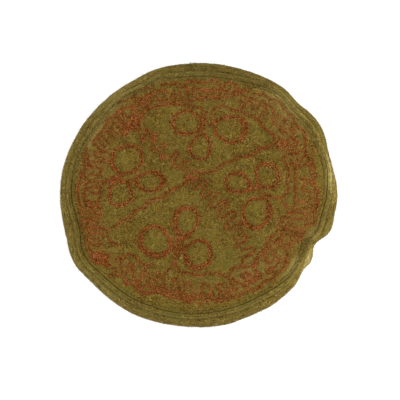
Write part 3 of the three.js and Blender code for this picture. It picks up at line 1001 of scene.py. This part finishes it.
def felt(name, deep, body, pale, green, green_share, fuzz):
    """Fulled wool: a melange of darker, paler and greener fibres, with rust lint, and with painted highlights
    and painted shade that the piece gives point by point.
    """
    wool = Finish(name)
    place = wool.place()
    drift = wool.clouds(place, size=11.0, detail=1.0, out="Color")
    wavy = wool.vector("MULTIPLY_ADD", {0: drift, 1: FELT_DRIFT, 2: place})
    clump = wool.clouds(place, size=6.0)
    fleck = wool.clouds(wavy, size=1.0, detail=3.0, roughness=0.6)
    hair_across = wool.clouds(wool.vector("MULTIPLY", {0: wavy, 1: HAIR_ACROSS}), size=1.0)
    hair_along = wool.clouds(wool.vector("MULTIPLY", {0: wavy, 1: HAIR_ALONG}), size=1.0)
    patch = 0.5 * wool.clouds(place, size=26.0) + 0.5 * wool.clouds(wavy, size=7.0)
    hairs = 0.5 * hair_across + 0.5 * hair_along
    grain = 0.5 * fleck + 0.5 * hairs
    tone = 0.08 * clump + 0.43 * fleck + 0.33 * hairs + 0.16 * patch
    melange = wool.three_tones(stronger(tone, FELT_CONTRAST), deep, body, pale)
    tint = wool.blend(stronger(patch, GREEN_CONTRAST) * green_share, melange, green)
    # The piece's signed tone blends towards a pale painted highlight above 0, and towards the deep colour as
    # painted shade below 0
    wear = wool.tone("wear")
    patchy = 0.2 + 0.5 * fleck
    painted_lit = wool.blend(wear * patchy, tint, PAINTED_HIGHLIGHT)
    lint = wool.blend(stronger(grain, LINT_CONTRAST), RUST_LINT_DEEP, RUST_LINT)
    dusted = wool.blend(wool.tone("lint") * patchy, painted_lit, lint)
    painted_shaded = wool.blend(wear * -PAINTED_SHADE_STRENGTH, dusted, deep)
    return wool.done(
        Base_Color=painted_shaded,
        Roughness=0.95,
        Normal=wool.bump(grain, distance=0.6, strength=0.7),
        Sheen_Weight=fuzz,
        Sheen_Roughness=0.6,
        Sheen_Tint=(0.75, 0.68, 0.35, 1),
        Specular_IOR_Level=0.02,
    )


def yarn(name, deep, body, pale):
    """Wool yarn, uneven from stitch to stitch and hairy close up, with shade painted where it dips into the
    felt.
    """
    wool = Finish(name)
    place = wool.place()
    dye = wool.clouds(place, size=22.0)
    uneven = wool.clouds(place, size=1.3, detail=1.0)
    hairs = wool.clouds(place, size=0.5, detail=1.0)
    tone = 0.2 * dye + 0.65 * uneven + 0.15 * hairs
    dyed = wool.three_tones(stronger(tone, YARN_CONTRAST), deep, body, pale)
    return wool.done(
        # Painted shade where the yarn dips into the felt
        Base_Color=wool.blend(wool.tone("dip") * YARN_DIP_SHADE, dyed, deep),
        Roughness=0.9,
        Normal=wool.bump(hairs, distance=0.15, strength=0.5),
        Sheen_Weight=0.03,
        Sheen_Roughness=0.5,
        Specular_IOR_Level=0.02,
    )


FELTS = {row["name"]: felt(**row) for row in FELT_COLOURS}
YARNS = {row["name"]: yarn(**row) for row in YARN_COLOURS}


# Pieces


def make_piece(name, points, faces, finish, slot, node=None, **tones):
    """A mesh piece from points in millimetres, riding with the cap. Its tones feed the finish."""
    mesh = bpy.data.meshes.new(name)
    mesh.from_pydata((np.asarray(points) * MM).tolist(), [], faces)
    mesh.polygons.foreach_set("use_smooth", np.ones(len(mesh.polygons), bool))
    mesh.materials.append(finish)
    for tone, values in tones.items():
        mesh.attributes.new(tone, "FLOAT", "POINT").data.foreach_set("value", values)
    mesh.update()
    piece = bpy.data.objects.new(name, mesh)
    bpy.context.scene.collection.objects.link(piece)
    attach(piece, "root")
    if node:
        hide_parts(node)


def ring_faces(rows, columns, close_rows):
    """Four-sided faces of a grid whose rows close on themselves round the axis."""
    grid = np.arange(rows * columns).reshape(rows, columns)
    below = grid if close_rows else grid[:-1]
    above = np.roll(grid, -1, axis=0) if close_rows else grid[1:]
    right = np.roll(below, -1, axis=1)
    above_right = np.roll(above, -1, axis=1)
    return np.stack([below, right, above_right, above], axis=2).reshape(-1, 4).tolist()


def crown_section():
    """Section of the crown from the middle of its underside, round its edge, to the middle of its top."""
    under = np.linspace(0, CROWN_EDGE, CROWN_UNDER_POINTS)
    centre = CROWN_EDGE - EDGE_ROUND
    level = crown_under(CROWN_EDGE) + CLOTH - EDGE_ROUND
    angle = np.radians(np.linspace(0, EDGE_SWEEP, EDGE_POINTS))
    top = np.linspace(centre, 0, round(centre / CROWN_STEP))
    section = np.vstack([
        np.column_stack([under, crown_under(under)]),
        np.column_stack([centre + EDGE_ROUND * np.cos(angle), level + EDGE_ROUND * np.sin(angle)]),
        np.column_stack([top, crown_under(top) + CLOTH]),
    ])
    return section, len(under) + len(angle)


def felted_share(bearing):
    """How far the wool closes the seam at each bearing."""
    share = np.zeros(bearing.shape)
    for row in SEAM_FELTED:
        within = (bearing - row["start"]) % 360
        fade_in = smoothstep(within, 0, FELTED_FADE)
        fade_out = 1 - smoothstep(within, row["sweep"] - FELTED_FADE, row["sweep"])
        share = np.maximum(share, row["closed"] * fade_in * fade_out)
    return share


def edge_felted(points):
    """The regular crown's points, with its edge drawn out and down where the wool closes the seam."""
    x, y, z = points.T
    bearing, radius = bearing_and_radius(points)
    share = smoothstep(radius, CROWN_EDGE - FELTED_WIDTH, CROWN_EDGE) * felted_share(bearing)
    stretch = 1 + FELTED_REACH * share / np.maximum(radius, TINY)
    upper = np.clip((z - crown_under(radius)) / CLOTH, 0, 1)
    return np.column_stack([x * stretch, y * stretch, z - FELTED_DROP * share * upper])


def across_share(inset, row):
    """How far a row that has an inset and a width across counts at other insets."""
    return bell(inset - row["inset"], row["across"])


def wear_at(regular, placed):
    """Painted highlights (above 0) and painted shade (below 0) at the cloth's points. The distance in from
    the outline is below 0 on the roll's underside.
    """
    bearing, radius = bearing_and_radius(regular)
    inset = (RIM_RADIUS - radius) * np.where(regular[:, 2] > ROLL_MIDDLE, 1, -1)
    total = DENT["wear"] * dent_share(placed)
    for row in PAINTED_LIGHT_AND_SHADE:
        total += row["share"] * fold_share(bearing, row) * across_share(inset, row)
    # Painted shade along the crease under the rib, uneven along its length
    fading = 1 + 2 * CREASE_SHADE["uneven"] * noise_at(regular / CREASE_SHADE["wave"])
    return total + CREASE_SHADE["share"] * across_share(inset, CREASE_SHADE) * fading


def make_crown():
    """The crown, with its cloth pulled down by the stitches. Gives back a tree to find places on it."""
    section, top_start = crown_section()
    rows = spun(section[1:-1], CROWN_SEGMENTS)
    regular = np.vstack([[(0, 0, section[0, 1])], rows.reshape(-1, 3), [(0, 0, section[-1, 1])]])
    points = crown_placed(edge_felted(regular))
    on_top = np.arange(1 + (top_start - 1) * CROWN_SEGMENTS, len(points))
    top = points[on_top]
    near = bell(stitch_distance(top), STITCH_PULL_SPREAD)
    near_fill = bell(stitch_distance(top, ["fill"]), FILL_LINT_SPREAD)
    near_winding = bell(stitch_distance(top, ["thin"]), WINDING_SPREAD)
    points[on_top, 2] += wool_rise(top, **CROWN_WOOL) + puff_at(top) - STITCH_PULL * near
    lint = np.zeros(len(points))
    lint[on_top] = np.maximum(LINE_LINT * near, FILL_LINT * near_fill)
    # Painted highlights and painted shade on the crown's top, with darkening along the winding lines
    wear = np.zeros(len(points))
    wear[on_top] = wear_at(regular[on_top], top) + WINDING_DARKENING * near_winding
    faces = [[corner + 1 for corner in face] for face in ring_faces(len(rows), CROWN_SEGMENTS, False)]
    last = len(points) - 1
    last_row = last - CROWN_SEGMENTS
    for step in range(CROWN_SEGMENTS):
        following = (step + 1) % CROWN_SEGMENTS
        faces.append([0, 1 + following, 1 + step])
        faces.append([last, last_row + step, last_row + following])
    make_piece("crown_cloth", points, faces, FELTS["crown_felt"], "crown_felt", "crown", wear=wear, lint=lint)
    return BVHTree.FromPolygons(points.tolist(), faces)


def rib_points(across, lift=0.0):
    """Section points on the rib's outer face, at shares of its width."""
    curve = smooth_line([(row["across"], row["rise"]) for row in RIB_PROFILE])
    rise = RIB_RISE * np.interp(across, curve[:, 0], curve[:, 1])
    return wall_points(RIB_TURN + (SEAM_TURN - RIB_TURN) * across, -rise - lift)


def roll_points(turns, lift=0.0):
    """Section points on the roll's outer face."""
    rise = sum(row["rise"] * bell(turns - row["turn"], row["spread"]) for row in ROLL_RIDGES)
    return wall_points(turns, -rise - lift)


def band_section():
    """Closed section of the rolled cloth, and how free each of its points is to be uneven."""
    rib = np.vstack([rib_points(np.linspace(0, 1, RIB_POINTS)), wall_points([SEAM_TURN], 0)])
    first = SEAM_TURN + SEAM_TURN_STEP
    seen = np.arange(*SEEN_TURNS, SEEN_TURN_STEP)
    turns = np.concatenate([
        np.arange(first, seen[0], HIDDEN_TURN_STEP),
        seen,
        np.arange(seen[-1] + HIDDEN_TURN_STEP, ROLL_END, HIDDEN_TURN_STEP),
        [ROLL_END],
    ])
    inner = wall_points(np.append(np.arange(first, ROLL_END, HIDDEN_TURN_STEP), ROLL_END), CLOTH)
    rib_under_turns = RIB_TURN + (SEAM_TURN - RIB_TURN) * RIB_UNDER_SHARES
    rib_under = wall_points(rib_under_turns, TURN_PITCH - RIB_CLEARANCE)
    section = np.vstack([rib, roll_points(turns), inner[::-1], rib_under[::-1]])
    free = np.concatenate([
        RIB_UNEVEN * np.ones(len(rib)),
        np.where((turns > UNEVEN_TURNS[0]) & (turns < UNEVEN_TURNS[1]), 1.0, 0.0),
        np.zeros(len(inner) + len(rib_under)),
    ])
    return section, free


def make_band():
    """The rolled band, uneven where it is seen. Gives back a tree to find places on it."""
    section, free = band_section()
    regular = spun(section, BAND_SEGMENTS).reshape(-1, 3)
    points = creased(regular)
    loose = np.repeat(free, BAND_SEGMENTS)
    seen = np.nonzero(loose)[0]
    rise = wool_rise(points[seen], **BAND_WOOL) * loose[seen]
    slope = np.clip((regular[seen, 2] - ROLL_MIDDLE) / ROLL_HALF_HEIGHT, -1, 1)
    away = unit(regular[seen] * [1, 1, 0]) * np.sqrt(1 - slope ** 2)[:, None]
    away[:, 2] = slope
    points[seen] += away * rise[:, None]
    points[:, 2] = np.maximum(points[:, 2], 0)
    faces = ring_faces(len(section), BAND_SEGMENTS, True)
    # Painted highlights and painted shade on the seen part of the band
    wear = np.zeros(len(points))
    wear[seen] = wear_at(regular[seen], points[seen])
    make_piece("rolled_band_cloth", points, faces, FELTS["band_felt"], "band_felt", "rolled_band", wear=wear)
    return BVHTree.FromPolygons(points.tolist(), faces)


def dropped(plan, *trees):
    """Height of the highest cloth under each plan point."""
    heights = np.zeros(len(plan))
    down = Vector((0, 0, -1))
    for index, (x, y) in enumerate(plan):
        hits = [tree.ray_cast(Vector((x, y, ABOVE_ALL)), down)[0] for tree in trees]
        heights[index] = max((hit.z for hit in hits if hit is not None), default=SEAM_HEIGHT + CLOTH)
    return heights


def nearest_on(tree, points):
    """The nearest place on a cloth to each point, and the way that the cloth faces there."""
    found = np.array([tree.find_nearest(Vector(point))[:2] for point in points])
    return found[:, 0], found[:, 1]


def tube_rings(paths, radii, sides, closed):
    """Rings of points round many paths at once. paths is stitches by points by 3."""
    if closed:
        tangent = unit(np.roll(paths, -1, axis=1) - np.roll(paths, 1, axis=1))
    else:
        tangent = unit(np.gradient(paths, axis=1))
    side = unit(np.cross(tangent, (0.0, 0.0, 1.0)))
    lift = np.cross(side, tangent)
    angles = np.linspace(0, 2 * math.pi, sides, endpoint=False)[:, None]
    around = side[:, :, None] * np.cos(angles) + lift[:, :, None] * np.sin(angles)
    return paths[:, :, None] + around * radii[..., None, None]


def repeated_faces(faces, count, points_each):
    """The same faces for many copies of one small shape."""
    offsets = np.arange(count)[:, None, None] * points_each
    return (np.array(faces)[None] + offsets).reshape(-1, len(faces[0])).tolist()


def varied(name, count):
    """One random value for each stitch, in a column."""
    return random_steps.uniform(*STITCH_RANGES[name], count)[:, None]


def make_chain(name, tree, group):
    """Chain stitch: each stitch is a drop-shaped loop of yarn whose tip the next loop holds down."""
    sizes = STITCH_SIZES[group["kind"]]
    yarn_radius = sizes["yarn"]
    starts = group["starts"]
    count = len(starts)
    step = group["ends"] - starts
    turn = np.radians(random_steps.normal(0, STITCH_TURN, count))
    along = np.column_stack(turned(*unit(step).T, turn))
    reach = np.hypot(*step.T)[:, None] + STITCH_OVERLAP * varied("overlap", count)
    half_width = (sizes["width"] / 2 - yarn_radius) * varied("width", count)
    shift = random_steps.normal(0, STITCH_SHIFT, count)[:, None]
    angle = np.linspace(0, 2 * math.pi, LOOP_POINTS, endpoint=False)
    forward = (1 - np.cos(angle)) / 2
    sideways = np.sin(angle) * np.sin(angle / 2) / DROP_HALF_WIDTH
    plan = starts[:, None] + along[:, None] * (forward * reach)[..., None]
    plan = plan + left_of(along)[:, None] * (sideways * half_width + shift)[..., None]
    heights = dropped(plan.reshape(-1, 2), tree).reshape(count, LOOP_POINTS)
    arch = np.sin(np.pi * forward) * LOOP_RISE * varied("rise", count)
    tuck = LOOP_TUCK * (1 - forward) ** 4
    paths = np.dstack([plan, heights + yarn_radius - YARN_SINK + arch - tuck])
    radii = np.full((count, LOOP_POINTS), yarn_radius) * varied("yarn", count)
    rings = tube_rings(paths, radii, YARN_SIDES, True)
    faces = repeated_faces(ring_faces(LOOP_POINTS, YARN_SIDES, True), count, LOOP_POINTS * YARN_SIDES)
    # Painted shade on each loop where it starts in the felt, with a random tone for each stitch
    dip = np.clip(1.0 - DIP_FADE * forward + varied("dip", count), 0, 1)
    dip = np.repeat(dip.ravel(), YARN_SIDES)
    make_piece(name, rings.reshape(-1, 3), faces, YARNS["rust_yarn"], "embroidery_thread", dip=dip)


def row_points(row, bearings, lift, tree):
    """Points of a sewn line on its cloth."""
    angle = np.radians(bearings)
    sway = noise_at(round_axis(SEAM_RADIUS / SEAM_WAVE, angle, row["place"]))
    place = row["place"] + row["wander"] * sway
    if row["cloth"] == "crown":
        radius = CROWN_EDGE - place
        points = crown_placed(round_axis(radius, angle, crown_under(radius) + CLOTH))
        points[:, 2] = dropped(points[:, :2], tree) + lift
        return points
    section_points = rib_points if row["cloth"] == "rib" else roll_points
    radius, height = section_points(place, lift).T
    return creased(round_axis(radius, angle, height))


def make_strands(name, paths, radii, sides, finish, slot):
    """Many short open strands, with their ends closed. paths is strands by points by 3."""
    count, steps = paths.shape[:2]
    rings = tube_rings(paths, radii, sides, False)
    each = steps * sides
    walls = repeated_faces(ring_faces(steps, sides, False), count, each)
    first = list(range(sides))[::-1]
    last = list(range(each - sides, each))
    caps = repeated_faces([first, last], count, each)
    make_piece(name, rings.reshape(-1, 3), walls + caps, finish, slot)


def make_seam_row(row, tree):
    """A line of long running stitches along the rim, some of them sunk out of sight in the wool."""
    pitch = SEAM_STITCH + SEAM_STITCH_GAP
    count = round(2 * math.pi * SEAM_RADIUS / pitch)
    starts = (360 * np.arange(count) / count)[:, None]
    sweep = 360 / count * SEAM_STITCH / pitch
    share = np.linspace(0, 1, SEAM_STITCH_POINTS)
    bearings = starts + sweep * share * random_steps.uniform(*SEAM_STITCH_RANGE, count)[:, None]
    depth = random_steps.uniform(*SEAM_DEPTHS, count)[:, None]
    for stretch in SEAM_FELTED:
        within = (starts - stretch["start"]) % 360 < stretch["sweep"]
        depth = np.where(within & stretch["hides_sewing"], FELTED_DEPTH, depth)
    bow = np.sin(np.pi * share)
    lift = SEAM_YARN_RADIUS * (SEAM_ARCH * bow + depth)
    points = row_points(row, bearings.ravel(), lift.ravel(), tree).reshape(count, SEAM_STITCH_POINTS, 3)
    radii = np.tile(SEAM_YARN_RADIUS * (SEAM_YARN_END + (1 - SEAM_YARN_END) * bow), (count, 1))
    make_strands(row["name"], points, radii, YARN_SIDES, YARNS["seam_yarn"], "band_felt")


# Loose fibres


def bent_steps(count):
    """Places along many short bent fibres: how far along its heading and to its side each point lies."""
    share = np.linspace(-0.5, 0.5, FIBRE_POINTS)
    length = random_steps.uniform(FIBRE_LEAST, FIBRE_MOST, count)[:, None]
    bend = np.radians(random_steps.uniform(-FIBRE_BEND, FIBRE_BEND, count))[:, None]
    return length * share * np.cos(bend * share), length * share * np.sin(bend * share)


def make_fibres(name, paths, finish, slot):
    """Fibres that taper to both ends."""
    taper = 1 - FIBRE_TAPER * np.abs(np.linspace(-1, 1, FIBRE_POINTS)) ** 3
    radii = FIBRE_RADIUS * random_steps.uniform(*FIBRE_RADIUS_RANGE, len(paths))[:, None] * taper
    make_strands(name, paths, radii, FIBRE_SIDES, YARNS[finish], slot)


def make_crown_fibres(tree):
    """Fibres that lie every way on the crown, clear of the stitches."""
    radius = (CROWN_EDGE - FIBRE_MOST / 2) * np.sqrt(random_steps.uniform(0, 1, CROWN_FIBRES))
    angle = random_steps.uniform(0, 2 * math.pi, CROWN_FIBRES)
    middle = crown_placed(round_axis(radius, angle, 0))[:, :2]
    middle = middle[stitch_distance(middle) > FIBRE_CLEAR_OF_STITCH]
    ahead, aside = bent_steps(len(middle))
    heading = random_steps.uniform(0, 2 * math.pi, len(middle))[:, None]
    plan = middle[:, None] + np.dstack(turned(ahead, aside, heading))
    height = dropped(plan.reshape(-1, 2), tree).reshape(ahead.shape)
    make_fibres("crown_fibres", np.dstack([plan, height + FIBRE_LIFT]), "wool_fibre", "crown_felt")


def make_band_fibres(tree):
    """Fibres on the rim, combed along it by the rolling of the cloth."""
    profile = np.vstack([roll_points(BAND_FIBRE_TURNS), rib_points(BAND_FIBRE_RIB_SHARES)])
    along = distances_along(profile)
    ahead, aside = bent_steps(BAND_FIBRES)
    heading = np.radians(random_steps.normal(0, BAND_FIBRE_HEADING, BAND_FIBRES))[:, None]
    start = random_steps.uniform(0, along[-1], BAND_FIBRES)[:, None]
    angle = random_steps.uniform(0, 2 * math.pi, BAND_FIBRES)[:, None]
    round_rim, over_rim = turned(ahead, aside, heading)
    station = np.clip(start + over_rim, 0, along[-1])
    radius = np.interp(station, along, profile[:, 0])
    height = np.interp(station, along, profile[:, 1])
    regular = round_axis(radius, angle + round_rim / RIM_RADIUS, height)
    place, way = nearest_on(tree, creased(regular.reshape(-1, 3)))
    paths = (place + way * FIBRE_LIFT).reshape(regular.shape)
    make_fibres("band_fibres", paths, "wool_fibre", "band_felt")


def make_seam_fibres(crown_tree, band_tree):
    """Wool felted across the seam, from the rib over its edge on to the crown."""
    felted = [row["start"] + row["sweep"] * random_steps.uniform(0, 1, row["fibres"]) for row in SEAM_FELTED]
    bearing = np.concatenate(felted + [random_steps.uniform(0, 360, SEAM_FIBRES)])[:, None]
    offsets = SEAM_FIBRE_OFFSETS + random_steps.normal(0, SEAM_FIBRE_SHIFT, len(bearing))[:, None]
    slant = random_steps.normal(0, SEAM_FIBRE_SLANT, len(bearing))[:, None]
    angle = np.radians(bearing) + slant * offsets / SEAM_RADIUS
    regular = round_axis(SEAM_RADIUS - offsets, angle, SEAM_HEIGHT + CLOTH)
    plan = creased(regular.reshape(-1, 3))[:, :2]
    level = dropped(plan, crown_tree, band_tree)
    paths = np.column_stack([plan, level + FIBRE_LIFT]).reshape(regular.shape)
    make_fibres("seam_fibres", paths, "felted_fibre", "band_felt")


def make_rim_hairs(tree):
    """Short hairs that stand off the outside of the roll."""
    turns = random_steps.uniform(*RIM_HAIR_TURNS, RIM_HAIRS)
    angle = random_steps.uniform(0, 2 * math.pi, RIM_HAIRS)
    radius, height = roll_points(turns).T
    roots, ways = nearest_on(tree, creased(round_axis(radius, angle, height)))
    ways = unit(ways + random_steps.uniform(-RIM_HAIR_LEAN, RIM_HAIR_LEAN, (RIM_HAIRS, 3)))
    curl = random_steps.uniform(-RIM_HAIR_CURL, RIM_HAIR_CURL, (RIM_HAIRS, 3))
    length = random_steps.uniform(RIM_HAIR_LEAST, RIM_HAIR_MOST, RIM_HAIRS)[:, None]
    share = np.array([[row["along"]] for row in RIM_HAIR_PROFILE])
    paths = roots[:, None] + length[:, None] * (share * ways[:, None] + share ** 2 * curl[:, None])
    paths[..., 2] = np.maximum(paths[..., 2], RIM_HAIR_RADIUS)
    radii = RIM_HAIR_RADIUS * np.tile([row["width"] for row in RIM_HAIR_PROFILE], (RIM_HAIRS, 1))
    make_strands("rim_hairs", paths, radii, FIBRE_SIDES, YARNS["wool_fibre"], "band_felt")


crown_tree = make_crown()
band_tree = make_band()
for stitch_name, stitch_group in EMBROIDERY.items():
    make_chain(stitch_name, crown_tree, stitch_group)
for seam_row in SEAM_ROWS:
    make_seam_row(seam_row, crown_tree)
make_crown_fibres(crown_tree)
make_band_fibres(band_tree)
make_seam_fibres(crown_tree, band_tree)
make_rim_hairs(band_tree)


# Floor, light and camera


def make_floor():
    mesh = bpy.data.meshes.new("floor")
    half = FLOOR_SIZE / 2
    corners = [(x * half, y * half, -FLOOR_DROP) for x, y in [(-1, -1), (1, -1), (1, 1), (-1, 1)]]
    mesh.from_pydata(corners, [], [(0, 1, 2, 3)])
    paper = Finish("floor_paper")
    finish = paper.done(
        Base_Color=(FLOOR_TONE, FLOOR_TONE, FLOOR_TONE, 1),
        Roughness=1.0,
        Specular_IOR_Level=0.0,
        Emission_Color=(1, 1, 1, 1),
        Emission_Strength=FLOOR_GLOW,
    )
    mesh.materials.append(finish)
    floor = bpy.data.objects.new("floor", mesh)
    bpy.context.scene.collection.objects.link(floor)


def make_light(name, place, size, power):
    lamp = bpy.data.lights.new(name, "AREA")
    lamp.shape = "DISK"
    lamp.size = size
    lamp.energy = power
    light = bpy.data.objects.new(name, lamp)
    light.location = place
    light.rotation_euler = (LIGHT_AIM - Vector(place)).to_track_quat("-Z", "Y").to_euler()
    bpy.context.scene.collection.objects.link(light)


def make_world():
    world = bpy.data.worlds.new("studio")
    world.use_nodes = True
    background = world.node_tree.nodes["Background"]
    background.inputs["Color"].default_value = (1, 1, 1, 1)
    background.inputs["Strength"].default_value = STUDIO_STRENGTH
    bpy.context.scene.world = world


def make_camera():
    lens = bpy.data.cameras.new("camera")
    lens.lens = LENS
    lens.sensor_width = SENSOR
    camera = bpy.data.objects.new("camera", lens)
    camera.location = (*FRAME_MIDDLE, FRAME_LEVEL + FRAME_WIDTH * LENS / SENSOR)
    bpy.context.scene.collection.objects.link(camera)
    bpy.context.scene.camera = camera


make_floor()
for light_row in LIGHTS:
    make_light(**light_row)
make_world()
make_camera()
bpy.context.scene.view_settings.view_transform = "Standard"
bpy.context.scene.view_settings.look = "None"
